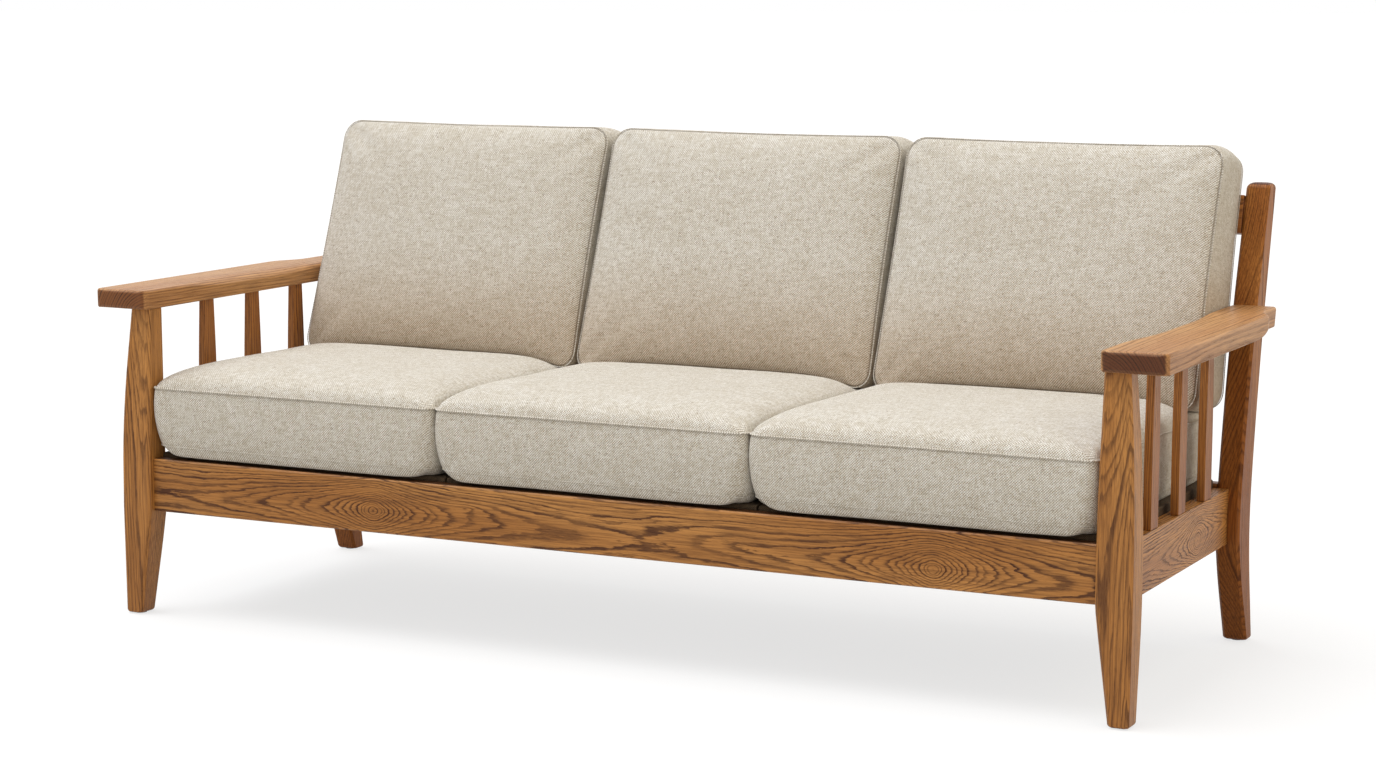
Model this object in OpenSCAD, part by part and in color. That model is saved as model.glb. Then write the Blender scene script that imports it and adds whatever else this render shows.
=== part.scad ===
// Three-seat wooden sofa: a mortised oak show frame with sculpted arms and loose cushions.
// Millimetres. X runs to the sitter's left-hand arm (right in a front view), the front faces -Y,
// +Z is up. The origin is on the floor under the middle of the sofa.

/* [Overall] */
// Clear width between the two arms
seat_w = 1690; // [1400:10:2000]
// Depth from the front of the arms to the back of the posts
sofa_d = 764; // [700:2:860]
// Height of the underside of the arms
arm_z = 529; // [500:1:570]
// Height of the back posts
post_h = 758; // [720:1:820]

/* [Arms] */
// Width of an arm at its front
arm_w = 105; // [90:1:125]
// Thickness of an arm
arm_t = 33; // [28:0.5:40]
// Width of the arm where it meets the post
arm_tail_w = 80; // [66:1:86]
// Length of the narrow tail of the arm
arm_tail_l = 59; // [56:1:110]
// Depth of the hollow worked into the top inner edge
arm_scoop = 15; // [8:0.5:18]
// Width of that hollow
arm_scoop_w = 30; // [16:1:36]
// Radius worked on the other long edges
arm_ease = 5; // [2:0.5:8]

/* [Front legs] */
// Width at the rails
leg_w = 58; // [50:0.5:66]
// Width under the arm
leg_top_w = 41; // [34:0.5:50]
// Width at the floor
leg_foot_w = 33; // [28:0.5:44]
// Depth at the rails
leg_d = 51.5; // [42:0.5:56]
// Depth under the arm
leg_top_d = 37.5; // [30:0.5:44]
// Depth at the floor
leg_foot_d = 41; // [30:0.5:44]
// Distance of the leg behind the front of the arm, at the rails
leg_setback = 2.2; // [0:0.1:6]

/* [Back posts] */
// Width of a post
post_w = 40.5; // [34:0.1:46]
// Depth at the rails
post_d = 66; // [58:0.5:74]
// Depth at the arm
post_arm_d = 57; // [50:0.5:64]
// Depth near the top
post_top_d = 42; // [36:0.5:50]
// Depth at the floor
post_foot_d = 33; // [28:0.5:42]
// Front of the post ahead of the back plane, at the floor
post_foot_x = 105; // [90:1:125]
// The same at the seat rails
post_rail_x = 163; // [150:1:175]
// The same at the arm
post_arm_x = 108; // [100:1:118]
// The same at the top
post_top_x = 44; // [43:0.5:56]

/* [Seat rails] */
// Height of the underside of the front and rear rails
rail_z = 181.5; // [160:0.5:200]
// Height of a rail's face
rail_h = 91; // [80:0.5:105]
// Thickness of the rails
rail_t = 26; // [22:0.5:28]
// Distance of the front rail behind the face of the legs
rail_setback = 12.4; // [6:0.2:16]
// Drop of the side rails below the front rail
side_drop = 7; // [0:0.5:12]

/* [Back] */
// Height of the top back rail's face
top_rail_h = 64; // [50:1:72]
// Distance from the top of the posts to the underside of the top rail
top_rail_drop = 81; // [74:1:110]
// Thickness of the top back rail
back_rail_t = 24; // [20:0.5:28]
// Number of back slats, up to the eleven that are drawn
back_slat_n = 11; // [7:1:11]

/* [Slats] */
// Thickness of a slat
slat_t = 13.5; // [10:0.5:15]
// Width of an arm slat at its foot
slat_w = 36; // [30:0.5:42]
// Width of an arm slat under the arm
slat_top_w = 26; // [22:0.5:30]
// Distance between arm slats
slat_pitch = 140; // [110:1:150]
// Distance from the front of the arm to the middle of the first slat
slat_first = 205; // [150:1:240]

/* [Joinery] */
// Thickness of a tenon
tenon_t = 12; // [8:0.5:14]
// Length of a tenon in a leg or a post
tenon_l = 28; // [18:1:30]
// Height of a rail's tenon
tenon_h = 34; // [24:1:38]
// Length of the short tenons on the slats
stub_l = 12; // [8:0.5:16]
// Gap left round a tenon for glue
glue_gap = 0.2; // [0.1:0.05:0.5]

/* [Seat support] */
// Thickness of the covered seat boards
board_t = 18; // [14:0.5:24]
// Rise of the seat boards over the front rail
board_rise = 7.5; // [4:0.5:9]
// Gap between two seat boards
board_gap = 3; // [2:0.5:6]
// Thickness of the battens that carry the seat boards
batten_t = 20; // [16:0.5:26]
// Height of the battens
batten_h = 30; // [24:1:36]
// Height of the two cross bearers
bearer_h = 46; // [36:1:50]
// Thickness of the cross bearers
bearer_t = 28; // [22:1:36]
// Length of a corner block's sides
block_l = 60; // [45:1:75]
// Radius of a screw's shank
screw_r = 2; // [1.5:0.1:2.5]
// Radius of a foot glide
glide_r = 11; // [8:0.5:13]
// Thickness of a foot glide
glide_t = 2; // [1.5:0.5:5]

/* [Seat cushions] */
// Height of the boxing between the two seams
seat_side = 99; // [80:1:120]
// Rise of the crown over the top seam
seat_crown = 40; // [20:1:55]
// Drop of the underside below the lower seam
seat_belly = 16; // [10:1:24]
// Distance of the front seam behind the front of the arms
seat_front = 10; // [4:1:20]
// Gap between the back of the seat cushions and the posts
seat_rear = 12; // [6:1:30]

/* [Back cushions] */
// Gap between two back cushions
back_gap = 13.4; // [6:0.2:40]
// Height of the front lower seam
back_z = 422; // [415:1:440]
// Height of the front upper seam
back_top_z = 824; // [780:1:850]
// Thickness at the bottom, front to back
back_low_t = 158; // [130:1:175]
// Thickness at the top, front to back
back_top_t = 109; // [90:1:125]
// Bulge of the front panel
back_crown = 30; // [15:1:40]
// Gap left between soft pieces and what they lie on
lie_gap = 0.4; // [0.3:0.1:0.8]

/* [Hidden] */

WOOD = [0.60, 0.41, 0.23];
WOOD_DARK = [0.47, 0.29, 0.15];
INNER_WOOD = [0.72, 0.56, 0.38];
BOARD_CLOTH = [0.45, 0.41, 0.34];
STEEL = [0.70, 0.70, 0.68];
NYLON = [0.16, 0.14, 0.12];
CLOTH = [0.76, 0.72, 0.64];

// Curve through a short list of [position, value] stops, smooth at every stop
function slope(s, i) =
    i == 0 ? (s[1][1] - s[0][1]) / (s[1][0] - s[0][0]) :
    i == len(s) - 1 ? (s[i][1] - s[i - 1][1]) / (s[i][0] - s[i - 1][0]) :
    (s[i + 1][1] - s[i - 1][1]) / (s[i + 1][0] - s[i - 1][0]);
function span(s, x, i = 0) = (i >= len(s) - 2 || x < s[i + 1][0]) ? i : span(s, x, i + 1);
function hermite(s, i, t) =
    let (l = s[i + 1][0] - s[i][0], q = t * t, c = t * t * t)
    s[i][1] * (2 * c - 3 * q + 1) + slope(s, i) * l * (c - 2 * q + t)
    + s[i + 1][1] * (3 * q - 2 * c) + slope(s, i + 1) * l * (c - q);
function curve(s, x) =
    let (i = span(s, x))
    hermite(s, i, (x - s[i][0]) / (s[i + 1][0] - s[i][0]));
// Rise from 0 to 1 while x goes from a to b, level at both ends
function ease(x, a, b) = let (t = max(0, min(1, (x - a) / (b - a)))) t * t * (3 - 2 * t);
function mix(a, b, t) = a + (b - a) * t;
function steps(a, b, n) = [for (k = [0 : n]) mix(a, b, k / n)];

// Main planes
front_y = -sofa_d / 2;
back_y = sofa_d / 2;
arm_in = seat_w / 2;
arm_top = arm_z + arm_t;
rail_top = rail_z + rail_h;
side_z = rail_z - side_drop;
side_top = rail_top - side_drop;
board_top = rail_top + board_rise;
batten_top = board_top - board_t;
SHOULDER_GAP = 0.1;

// Front leg: widest from the rails up to bulge_z, drawn in towards the floor and the arm
leg_in = arm_in + 0.5;
leg_out = leg_in + leg_w;
leg_top_in = leg_in + 2;
bulge_z = rail_top + 28;
shoulder_z = (bulge_z + arm_z) / 2;
leg_face_y = front_y + leg_setback;
leg_rear_y = leg_face_y + leg_d;
LEG_IN = [[0, leg_out - 2 - leg_foot_w], [rail_z - 10, leg_in + 1], [rail_z + 12, leg_in],
    [bulge_z, leg_in], [arm_z, leg_top_in]];
LEG_OUT = [[0, leg_out - 2], [rail_z, leg_out], [bulge_z, leg_out - 1],
    [shoulder_z, leg_out - 1 - (leg_w - 3 - leg_top_w) * 0.36], [arm_z, leg_top_in + leg_top_w]];
LEG_FACE = [[0, leg_face_y], [bulge_z, leg_face_y], [arm_z, leg_rear_y - leg_top_d]];
LEG_REAR = [[0, leg_face_y + leg_foot_d], [rail_z, leg_rear_y], [arm_z, leg_rear_y]];
// Where the rails meet the leg its faces are flat
function leg_inner_x(z) = max(leg_in, curve(LEG_IN, z));
function leg_back_y(z) = min(leg_rear_y, curve(LEG_REAR, z));

// Post: front face as a distance ahead of the back plane, and depth, from the floor up
post_in = arm_in + 6.6;
post_bend_z = rail_z - 21;
post_head_z = post_h - 20;
POST_FRONT = [[0, post_foot_x], [post_bend_z, post_rail_x], [rail_top, post_rail_x - 2],
    [arm_z, post_arm_x], [post_head_z, post_top_x]];
POST_DEPTH = [[0, post_foot_d], [post_bend_z, post_d - 1], [rail_top, post_d],
    [arm_z, post_arm_d], [post_head_z, post_top_d]];
function post_front_y(z) = back_y - curve(POST_FRONT, z);
function post_rear_y(z) = min(back_y, post_front_y(z) + curve(POST_DEPTH, z));

// Seat rails
front_rail_y = leg_face_y + rail_setback;
rear_rail_y = post_front_y(rail_top) - 1;
side_in = arm_in + 0.6;
bearer_z = rail_z + 4;
block_z = rail_z + 4;
BLOCK_H = 40;

// The back panel leans in one plane that meets the front of the posts at two heights
top_rail_z = post_h - top_rail_drop;
panel_low_z = rail_top + 27.5;
panel_low_y = post_front_y(panel_low_z);
back_lean = atan((post_front_y(top_rail_z) - panel_low_y) / (top_rail_z - panel_low_z));
top_rail_s = (top_rail_z - panel_low_z) / cos(back_lean);
back_slat_pitch = 2 * post_in / (back_slat_n + 1);
function panel_y(z) = panel_low_y + (z - panel_low_z) * tan(back_lean);

// Arm slats
slat_x = side_in + rail_t - 0.6 - slat_t / 2;
slat_stub_w = slat_top_w - 8;
slat_stub_t = slat_t - 5;
function slat_y(i) = front_y + slat_first + (i - 1) * slat_pitch;

// Cushion seams, seen from the side. The loose back cushions sit a little off the middle.
cushion_pitch = seat_w / 3;
back_w = cushion_pitch - back_gap;
back_shift = back_gap * 0.45;
SEAT_DROP = 18;
seat_low_z = board_top + lie_gap + seat_belly;
seat_high_z = seat_low_z + seat_side;
seat_front_y = front_y + seat_front;
seat_rear_y = post_front_y(rail_top) - seat_rear;
back_low_y = panel_y(back_z - SEAT_DROP) - lie_gap - back_low_t;
back_top_y = panel_y(back_top_z - SEAT_DROP) - lie_gap - back_top_t;
function under_back_z(y) = back_z - (y - back_low_y) * SEAT_DROP / back_low_t;

// Solid skinned over a stack of rings that all have the same number of points
module skin(rings) {
    n = len(rings[0]);
    last = (len(rings) - 1) * n;
    sides = [for (k = [0 : n : last - n], i = [0 : n - 1])
        let (a = k + i, b = k + (i + 1) % n)
        each [[a, b + n, b], [a, a + n, b + n]]];
    ends = [for (i = [1 : n - 2]) each [[0, i, i + 1], [last, last + i + 1, last + i]]];
    polyhedron([for (ring = rings) each ring], concat(sides, ends), convexity = 6);
}

// Level ring of eight points: a rectangle with its corners taken off by e
function eased_ring(x0, x1, y0, y1, e, z) = [[x0 + e, y0, z], [x1 - e, y0, z], [x1, y0 + e, z],
    [x1, y1 - e, z], [x1 - e, y1, z], [x0 + e, y1, z], [x0, y1 - e, z], [x0, y0 + e, z]];

// Box between two corners, grown by g on every side
module block(low, high, g = 0) {
    translate([low[0] - g, low[1] - g, low[2] - g])
        cube([high[0] - low[0] + 2 * g, high[1] - low[1] + 2 * g, high[2] - low[2] + 2 * g]);
}

// Side outline in Y and Z, made thick in X
module side_plate(x, t, outline) {
    translate([x, 0, 0]) rotate([90, 0, 90]) linear_extrude(t) polygon(outline);
}

// Pieces are drawn for the right side and mirrored for the left
module handed(side) {
    if (side == "right") children();
    else mirror([1, 0, 0]) children();
}

// Tenons: each box is the tenon, and grown by the glue gap its mortise
module front_rail_tenon(g = 0) {
    y = front_rail_y + (rail_t - tenon_t) / 2;
    block([leg_in - 4, y, rail_top - 8 - tenon_h], [leg_in + tenon_l, y + tenon_t, rail_top - 8], g);
}

module rear_rail_tenon(g = 0) {
    y = rear_rail_y + (rail_t - tenon_t) / 2;
    block([post_in - 4, y, rail_top - 8 - tenon_h], [post_in + tenon_l, y + tenon_t, rail_top - 8],
        g);
}

module side_rail_tenons(g = 0) {
    x = post_in + 4.5;
    y = post_front_y(side_z + 8 + tenon_h / 2);
    block([x, leg_rear_y - tenon_l, side_z + 8], [x + tenon_t, y + tenon_l, side_z + 8 + tenon_h],
        g);
}

module leg_tenon(g = 0) {
    x = leg_top_in + leg_top_w / 2;
    y = leg_rear_y - leg_top_d / 2;
    block([x - 11, y - 8, arm_z - 4], [x + 11, y + 8, arm_z + arm_t * 0.6], g);
}

module arm_tenon(g = 0) {
    x = post_in + post_w / 2;
    y = post_front_y(arm_z + arm_t / 2);
    block([x - 11, y - 12, arm_z + arm_t / 2 - 8], [x + 11, y + tenon_l, arm_z + arm_t / 2 + 8], g);
}

module slat_stubs(i, g = 0) {
    block([slat_x - slat_stub_t / 2, slat_y(i) - slat_stub_w / 2, side_top - stub_l],
        [slat_x + slat_stub_t / 2, slat_y(i) + slat_stub_w / 2, arm_z + stub_l], g);
}

module bearer_tenons(x, g = 0) {
    block([x - tenon_t / 2, front_rail_y + rail_t - stub_l, bearer_z + 6],
        [x + tenon_t / 2, rear_rail_y + stub_l, bearer_z + bearer_h - 6], g);
}

// Lays children drawn with Z up the back into the leaning plane
module on_panel() {
    translate([0, panel_low_y, panel_low_z]) rotate([-back_lean, 0, 0]) children();
}

module top_rail_tenon(g = 0) {
    y = (back_rail_t - tenon_t) / 2;
    on_panel() block([post_in - 4, y, top_rail_s + 8],
        [post_in + tenon_l, y + tenon_t, top_rail_s + top_rail_h - 8], g);
}

// Back slats: tenoned upright into the rear seat rail and, leaning, into the top rail.
// They stand a little behind the face of the top rail.
BACK_SLAT_SET = 3;
function back_slat_x(i) = (i - (back_slat_n + 1) / 2) * back_slat_pitch;
back_slat_y = panel_y(rail_top) + (BACK_SLAT_SET + slat_t / 2) / cos(back_lean);
back_stub_w = slat_w - 10;
module back_slat_foot(i, g = 0) {
    block([back_slat_x(i) - back_stub_w / 2, back_slat_y - slat_stub_t / 2, rail_top - stub_l],
        [back_slat_x(i) + back_stub_w / 2, back_slat_y + slat_stub_t / 2, rail_top + 4], g);
}
module back_slat_head(i, g = 0) {
    y = BACK_SLAT_SET + (slat_t - slat_stub_t) / 2;
    on_panel() block([back_slat_x(i) - back_stub_w / 2, y, top_rail_s - 4],
        [back_slat_x(i) + back_stub_w / 2, y + slat_stub_t, top_rail_s + stub_l], g);
}

// Wood screw along +X with its head at the origin
SCREW_PLAY = 0.1;
module screw(l) {
    rotate([0, 90, 0]) {
        cylinder(h = screw_r, r1 = screw_r * 2, r2 = screw_r, $fn = 32);
        cylinder(h = l, r = screw_r, $fn = 32);
    }
}
module screw_hole(l, sink = 0) {
    rotate([0, 90, 0]) {
        translate([0, 0, -sink - 1]) cylinder(h = sink + 1, r = screw_r * 2 + SCREW_PLAY, $fn = 32);
        cylinder(h = screw_r, r1 = screw_r * 2 + SCREW_PLAY, r2 = screw_r + SCREW_PLAY, $fn = 32);
        cylinder(h = l + 1, r = screw_r + SCREW_PLAY, $fn = 32);
    }
}

// Places for the screws through the two battens: the front row points forwards, the rear row back
BATTEN_SCREWS = 8;
BATTEN_BITE = 14;
module at_batten_screws(rear) {
    for (k = [0 : BATTEN_SCREWS - 1])
        translate([(k - (BATTEN_SCREWS - 1) / 2) * (seat_w - 120) / (BATTEN_SCREWS - 1),
            rear ? rear_rail_y - batten_t : front_rail_y + rail_t + batten_t,
            batten_top - batten_h / 2])
            rotate([0, 0, rear ? 90 : -90]) children();
}

// Places for the two screws of a right-hand corner block, drawn with the corner at the origin
BLOCK_BITE = 12;
BLOCK_GRIP = 16;
module at_block_screws() {
    translate([-block_l * 0.36, BLOCK_GRIP, BLOCK_H * 0.3]) rotate([0, 0, -90]) children();
    translate([-BLOCK_GRIP, block_l * 0.36, BLOCK_H * 0.7]) children();
}
module at_front_corner() {
    translate([side_in - SHOULDER_GAP, front_rail_y + rail_t, block_z]) children();
}
module at_rear_corner() {
    translate([side_in - SHOULDER_GAP, rear_rail_y, block_z]) mirror([0, 1, 0]) children();
}

// Nylon glide with a round stem driven into the foot
GLIDE_STEM_R = 2.5;
GLIDE_STEM_L = 14;
front_foot = [leg_out - 2 - leg_foot_w / 2, leg_face_y + leg_foot_d / 2];
rear_foot = [post_in + post_w / 2, post_front_y(0) + post_foot_d / 2];
module glide(foot) {
    translate([foot[0], foot[1], 0]) {
        cylinder(h = glide_t, r1 = glide_r - 1, r2 = glide_r, $fn = 48);
        cylinder(h = glide_t + GLIDE_STEM_L, r = GLIDE_STEM_R, $fn = 24);
    }
}
module glide_bore(foot) {
    translate([foot[0], foot[1], glide_t - 1])
        cylinder(h = GLIDE_STEM_L + 2, r = GLIDE_STEM_R + 0.05, $fn = 24);
}

// Heights at which a leg is drawn, each with the amount its end is rounded in
FOOT_LEVELS = [[glide_t, 3], [glide_t + 1.2, 1.2], [glide_t + 4, 0]];
LEG_EASE = 4.5;
module front_leg(side) {
    levels = concat(FOOT_LEVELS, [for (z = steps(glide_t + 30, rail_z - 10, 4)) [z, 0]],
        [for (z = steps(rail_z, rail_z + 12, 2)) [z, 0]],
        [for (z = steps(rail_top, bulge_z, 1)) [z, 0]],
        [for (z = steps(mix(bulge_z, arm_z, 0.12), arm_z, 7)) [z, 0]]);
    color(WOOD) handed(side) difference() {
        skin([for (v = levels) eased_ring(leg_inner_x(v[0]) + v[1], curve(LEG_OUT, v[0]) - v[1],
            curve(LEG_FACE, v[0]) + v[1], leg_back_y(v[0]) - v[1], LEG_EASE, v[0])]);
        front_rail_tenon(glue_gap);
        side_rail_tenons(glue_gap);
        glide_bore(front_foot);
    }
    color(WOOD) handed(side) leg_tenon();
}

POST_EASE = 4.5;
POST_CROWN = 9;
module rear_leg(side) {
    levels = concat(FOOT_LEVELS, [for (z = steps(glide_t + 25, post_bend_z, 6)) [z, 0]],
        [for (z = steps(rail_z, rail_top, 4)) [z, 0]],
        [for (z = steps(rail_top + 30, arm_z, 7)) [z, 0]],
        [for (z = steps(arm_z + 30, post_h - POST_CROWN, 7)) [z, 0]],
        [for (t = [25, 50, 70, 88])
            [post_h - POST_CROWN * (1 - sin(t)), POST_CROWN * (1 - cos(t))]]);
    color(WOOD_DARK) handed(side) difference() {
        skin([for (v = levels) eased_ring(post_in + v[1], post_in + post_w - v[1],
            post_front_y(v[0]) + v[1], post_rear_y(v[0]) - v[1], POST_EASE, v[0])]);
        rear_rail_tenon(glue_gap);
        side_rail_tenons(glue_gap);
        arm_tenon(glue_gap);
        top_rail_tenon(glue_gap);
        glide_bore(rear_foot);
    }
}

// Rail with its long edges taken off, drawn from -x to x
RAIL_EASE = 2.5;
module rail_bar(x, y, t, z, h) {
    e = RAIL_EASE;
    side_plate(-x, 2 * x, [[y + e, z], [y + t - e, z], [y + t, z + e], [y + t, z + h - e],
        [y + t - e, z + h], [y + e, z + h], [y, z + h - e], [y, z + e]]);
}

module front_rail() {
    color(WOOD) difference() {
        union() {
            rail_bar(leg_in - SHOULDER_GAP, front_rail_y, rail_t, rail_z, rail_h);
            front_rail_tenon();
            mirror([1, 0, 0]) front_rail_tenon();
        }
        for (x = [-cushion_pitch / 2, cushion_pitch / 2]) bearer_tenons(x, glue_gap);
        at_batten_screws(false) screw_hole(batten_t + BATTEN_BITE);
        for (m = [0, 1]) mirror([m, 0, 0]) at_front_corner() at_block_screws()
            screw_hole(BLOCK_GRIP + BLOCK_BITE);
    }
}

module rear_rail() {
    color(WOOD_DARK) difference() {
        union() {
            rail_bar(post_in - SHOULDER_GAP, rear_rail_y, rail_t, rail_z, rail_h);
            rear_rail_tenon();
            mirror([1, 0, 0]) rear_rail_tenon();
        }
        for (i = [1 : back_slat_n]) back_slat_foot(i, glue_gap);
        for (x = [-cushion_pitch / 2, cushion_pitch / 2]) bearer_tenons(x, glue_gap);
        at_batten_screws(true) screw_hole(batten_t + BATTEN_BITE);
        for (m = [0, 1]) mirror([m, 0, 0]) at_rear_corner() at_block_screws()
            screw_hole(BLOCK_GRIP + BLOCK_BITE);
    }
}

module side_rail(side) {
    y0 = leg_rear_y + SHOULDER_GAP;
    outline = concat([[y0, side_z], [y0, side_top]],
        [for (z = steps(side_top, side_z, 6)) [post_front_y(z) - 2 * SHOULDER_GAP, z]]);
    color(WOOD) handed(side) difference() {
        union() {
            side_plate(side_in, rail_t, outline);
            side_rail_tenons();
        }
        for (i = [1 : 3]) slat_stubs(i, glue_gap);
        at_front_corner() at_block_screws() screw_hole(BLOCK_GRIP + BLOCK_BITE);
        at_rear_corner() at_block_screws() screw_hole(BLOCK_GRIP + BLOCK_BITE);
    }
}

module top_back_rail() {
    color(WOOD_DARK) {
        difference() {
            on_panel()
                rail_bar(post_in - SHOULDER_GAP, 0, back_rail_t, top_rail_s, top_rail_h);
            for (i = [1 : back_slat_n]) back_slat_head(i, glue_gap);
        }
        top_rail_tenon();
        mirror([1, 0, 0]) top_rail_tenon();
    }
}

module back_slat(i) {
    x = back_slat_x(i);
    y = panel_y(rail_top);
    if (i <= back_slat_n) color(WOOD_DARK) {
        difference() {
            on_panel() block([x - slat_w / 2, BACK_SLAT_SET, -60],
                [x + slat_w / 2, BACK_SLAT_SET + slat_t, top_rail_s - SHOULDER_GAP]);
            block([x - slat_w, y - 60, rail_top - 80],
                [x + slat_w, y + 80, rail_top + SHOULDER_GAP]);
        }
        back_slat_foot(i);
        back_slat_head(i);
    }
}

// Arm slat: parallel for its lower half, then drawn in towards the arm
module arm_slat(side, i) {
    width = [[side_top, slat_w], [mix(side_top, arm_z, 0.5), slat_w + 1], [arm_z, slat_top_w]];
    levels = steps(side_top + SHOULDER_GAP, arm_z - SHOULDER_GAP, 8);
    outline = concat([for (z = levels) [slat_y(i) + curve(width, z) / 2, z]],
        [for (k = [8 : -1 : 0]) [slat_y(i) - curve(width, levels[k]) / 2, levels[k]]]);
    color(WOOD) handed(side) {
        side_plate(slat_x - slat_t / 2, slat_t, outline);
        slat_stubs(i);
    }
}

// Arm: drawn in section at each distance behind its front, and skinned.
// The inner top edge sinks into a hollow for the elbow and comes up again at the post.
// The outer side draws in to the tail with an S-curve, rounded underneath at the shoulder.
// The rear end is cut to the slope of the post that it meets.
arm_l = post_front_y(arm_z + arm_t / 2) - front_y - 2 * SHOULDER_GAP;
arm_slope = (post_front_y(arm_top) - post_front_y(arm_z)) / arm_t;
SHOULDER_RUN = 75;
shoulder_d = arm_l - arm_tail_l - SHOULDER_RUN;
function hollow(d) = ease(d, arm_l * 0.13, arm_l * 0.42)
    * (1 - 0.65 * ease(d, arm_l * 0.68, arm_l * 0.84));
function arm_ring(d, inset) =
    let (x0 = arm_in + inset,
        x1 = arm_in + mix(arm_w, arm_tail_w, ease(d, shoulder_d, shoulder_d + SHOULDER_RUN)) - inset,
        z0 = arm_z + inset,
        z1 = arm_top - inset,
        drop = mix(arm_ease, arm_scoop, hollow(d)),
        wide = mix(arm_ease, arm_scoop_w, hollow(d)),
        under = arm_ease * 0.6 + 15 * ease(d, shoulder_d - 50, shoulder_d + 30)
            * (1 - ease(d, shoulder_d + 40, shoulder_d + 90)),
        shear = arm_slope * ease(d, arm_l - 120, arm_l),
        section = concat(
            [for (t = [0, 45, 90]) [x0 + 3 * (1 - sin(t)), z0 + 3 * (1 - cos(t))]],
            [for (t = [0 : 18 : 90]) [x0 + wide * (1 - cos(t)), z1 - drop * (1 - sin(t))]],
            [for (t = [0 : 30 : 90])
                [x1 - arm_ease * (1 - sin(t)), z1 - arm_ease * (1 - cos(t))]],
            [for (t = [0 : 22.5 : 90]) [x1 - under * (1 - cos(t)), z0 + under * (1 - sin(t))]]))
    [for (p = section) [p[0], front_y + d + shear * (p[1] - arm_z - arm_t / 2), p[1]]];

module arm(side) {
    stations = concat([[0, 4], [1.2, 1.5], [4, 0]],
        [for (d = steps(20, shoulder_d - 50, 14)) [d, 0]],
        [for (d = steps(shoulder_d - 30, shoulder_d + SHOULDER_RUN + 20, 9)) [d, 0]],
        [for (d = steps(mix(shoulder_d + SHOULDER_RUN + 20, arm_l, 0.5), arm_l, 1)) [d, 0]]);
    color(WOOD) handed(side) {
        difference() {
            skin([for (v = stations) arm_ring(v[0], v[1])]);
            leg_tenon(glue_gap);
            for (i = [1 : 3]) slat_stubs(i, glue_gap);
        }
        arm_tenon();
    }
}

module cross_bearer(side) {
    x = cushion_pitch / 2;
    color(INNER_WOOD) handed(side) {
        block([x - bearer_t / 2, front_rail_y + rail_t + SHOULDER_GAP, bearer_z],
            [x + bearer_t / 2, rear_rail_y - SHOULDER_GAP, bearer_z + bearer_h]);
        bearer_tenons(x);
    }
}

module batten(rear) {
    y = rear ? rear_rail_y - batten_t : front_rail_y + rail_t;
    color(INNER_WOOD) difference() {
        block([1 - side_in, y, batten_top - batten_h], [side_in - 1, y + batten_t, batten_top]);
        at_batten_screws(rear) screw_hole(batten_t + BATTEN_BITE);
    }
}

// Board under one seat cushion, covered in cloth, its corners and upper edges taken off
BOARD_EASE = 3;
module seat_board(bay) {
    x = (cushion_pitch - board_gap) / 2;
    outer = side_in - SHOULDER_GAP * 4 - cushion_pitch;
    x0 = bay < 0 ? -outer : -x;
    x1 = bay > 0 ? outer : x;
    y0 = front_rail_y + rail_t + SHOULDER_GAP * 4;
    y1 = rear_rail_y - SHOULDER_GAP * 4;
    e = BOARD_EASE;
    color(BOARD_CLOTH) translate([bay * cushion_pitch, 0, 0]) side_plate(x0, x1 - x0,
        [[y0, batten_top], [y1, batten_top], [y1, board_top - e], [y1 - e, board_top],
        [y0 + e, board_top], [y0, board_top - e]]);
}

module corner_block() {
    color(INNER_WOOD) difference() {
        linear_extrude(BLOCK_H) polygon([[0, 0], [0, block_l], [-block_l, 0]]);
        at_block_screws() screw_hole(BLOCK_GRIP + BLOCK_BITE, block_l);
    }
}

module corner_block_front(side) {
    handed(side) at_front_corner() corner_block();
}

module corner_block_rear(side) {
    handed(side) at_rear_corner() corner_block();
}

module batten_screws() {
    color(STEEL) for (rear = [false, true]) at_batten_screws(rear) screw(batten_t + BATTEN_BITE);
}

module block_screws() {
    color(STEEL) for (m = [0, 1]) mirror([m, 0, 0]) {
        at_front_corner() at_block_screws() screw(BLOCK_GRIP + BLOCK_BITE);
        at_rear_corner() at_block_screws() screw(BLOCK_GRIP + BLOCK_BITE);
    }
}

module foot_glides() {
    color(NYLON) for (m = [0, 1], foot = [front_foot, rear_foot]) mirror([m, 0, 0]) glide(foot);
}

// Rounded rectangle, counter-clockwise from the +X side, with points along its sides as well.
// Its two far corners (+Y) have the radius far, its two near corners the radius near.
CORNER_STEPS = 4;
SIDE_STEPS = 6;
function rounded(hw, hl, near, far) =
    let (arcs = [for (q = [0 : 3]) let (r = q < 2 ? far : near,
        c = [(q == 0 || q == 3) ? hw - r : r - hw, q < 2 ? hl - r : r - hl])
        [for (k = [0 : CORNER_STEPS])
            let (t = 90 * (q + k / CORNER_STEPS)) c + r * [cos(t), sin(t)]]])
    [for (q = [0 : 3]) each concat(arcs[q], [for (k = [1 : SIDE_STEPS - 1])
        mix(arcs[q][CORNER_STEPS], arcs[(q + 1) % 4][0], k / SIDE_STEPS)])];

// Cushion in a frame of four seam corners seen from the side: low panel from frame[0] to
// frame[1], high panel from frame[2] to frame[3]. A ring is the seam outline scaled by s, at
// share b of the way between the panels, lifted off its panel by rise. The border bulges by
// swell across and along the panel, and its sides pull in between the corners.
function cushion_ring(frame, outline, half, b, s, rise, swell, pull) =
    let (along = (b < 0.5 ? frame[1] - frame[0] : frame[3] - frame[2]),
        out = (b < 0.5 ? [along[1], -along[0]] : [-along[1], along[0]]) / norm(along))
    [for (p = outline)
        let (u = p[0] / half[0], v = p[1] / half[1],
            x = s * u * (half[0] - pull * (1 - v * v) + swell[0]),
            a = 0.5 + 0.5 * s * v * (1 + (swell[1] - pull * (1 - u * u)) / half[1]),
            q = mix(mix(frame[0], frame[1], a), mix(frame[2], frame[3], a), b) + out * rise)
        [x, q[0], q[1]]];

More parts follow.
